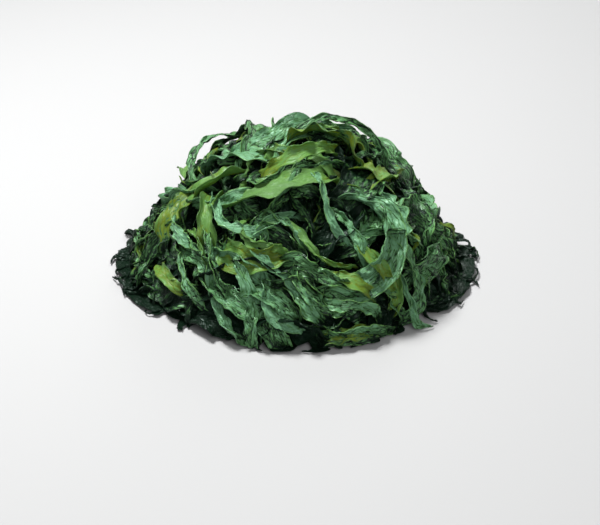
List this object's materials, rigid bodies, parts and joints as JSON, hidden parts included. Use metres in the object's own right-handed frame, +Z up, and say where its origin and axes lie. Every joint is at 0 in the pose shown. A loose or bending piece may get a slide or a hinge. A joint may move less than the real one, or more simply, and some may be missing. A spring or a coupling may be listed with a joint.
{
  "type": "heap of wakame",
  "caption": "Rounded heap of boiled wakame seaweed: wet, wrinkled dark green fronds and a few lighter ones, flat underneath, resting on a surface.",
  "frame": {"origin": "middle of the flat underside that the heap rests on", "axes": "+Z up from the surface, +X to the right and +Y away from the viewer, as the picture shows the heap"},
  "size_m": [0.2065, 0.1871, 0.0871],
  "materials": {
    "dark_frond": "wet dark green leaf, finely wrinkled, soft gloss",
    "light_frond": "wet yellowish green leaf, smooth, lets light through",
    "midrib": "wet grey green midrib, ribbed lengthwise, soft gloss"
  },
  "bodies": {
    "root": {"arched_strand": "dark_frond", "back_frond": "dark_frond", "back_light_frond": "light_frond", "broad_frond": "light_frond", "cupped_frond": "light_frond", "curled_frond": "dark_frond", "front_frond": "dark_frond", "long_frond": "dark_frond", "looped_strand": "dark_frond", "midrib_strip": "midrib", "right_frond": "dark_frond", "round_frond": "light_frond", "side_frond": "light_frond", "tangled_fronds": "dark_frond"}
  },
  "joints": []
}
